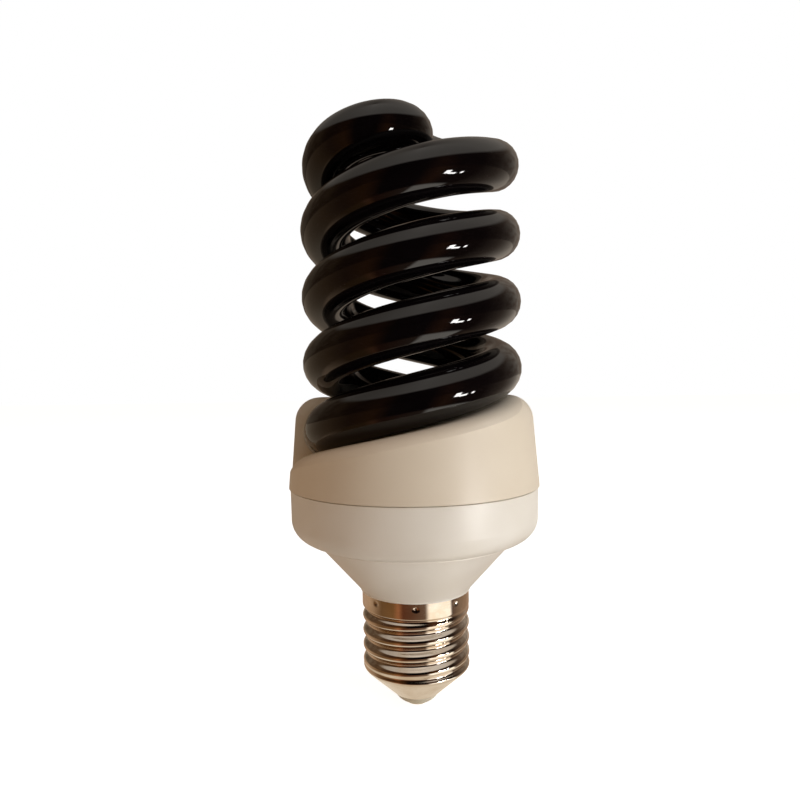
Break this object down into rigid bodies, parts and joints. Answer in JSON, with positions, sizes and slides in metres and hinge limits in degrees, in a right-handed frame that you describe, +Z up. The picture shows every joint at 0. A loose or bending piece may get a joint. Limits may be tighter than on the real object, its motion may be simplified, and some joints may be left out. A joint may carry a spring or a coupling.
{
  "type": "compact fluorescent lamp",
  "caption": "Screw-cap compact fluorescent lamp with a black glass two-start spiral tube, a two-piece plastic ballast housing with helical seats, and a rolled thread cap.",
  "frame": {"origin": "tip of the centre contact on the lamp's axis, at the bottom", "axes": "+Z up along the lamp's axis, from the cap to the top of the spiral; -Y towards the camera of the picture; +X to its right"},
  "size_m": [0.0606, 0.0606, 0.1439],
  "materials": {
    "black_glass": "gloss",
    "housing_plastic": "satin",
    "plated_brass": "bright nickel plate",
    "insulator": "satin",
    "board": "matte",
    "tinned_metal": "tinned",
    "cement": "matte",
    "ferrite": "matte",
    "bobbin_plastic": "matte",
    "copper_wire": "enamelled",
    "black_sleeve": "satin",
    "red_coating": "gloss",
    "resistor_lacquer": "lacquered",
    "white_sleeve": "satin"
  },
  "bodies": {
    "root": {"discharge_tube": "black_glass", "tube_cover": "housing_plastic", "ballast_cup": "housing_plastic", "screw_shell": "plated_brass", "cap_insulator": "insulator", "centre_contact": "plated_brass", "circuit_board": "board", "wrap_pins": "tinned_metal", "tube_leads": "tinned_metal", "end_cement": "cement", "choke_core": "ferrite", "choke_bobbin": "bobbin_plastic", "choke_winding": "copper_wire", "smoothing_capacitor": "black_sleeve", "line_choke": "ferrite", "toroid_core": "ferrite", "toroid_windings": "copper_wire", "film_capacitors": "red_coating", "transistors": "black_sleeve", "rectifier_diodes": "black_sleeve", "resistors": "resistor_lacquer", "fusible_resistor": "white_sleeve", "live_wire": "white_sleeve", "neutral_wire": "black_sleeve"}
  },
  "joints": []
}
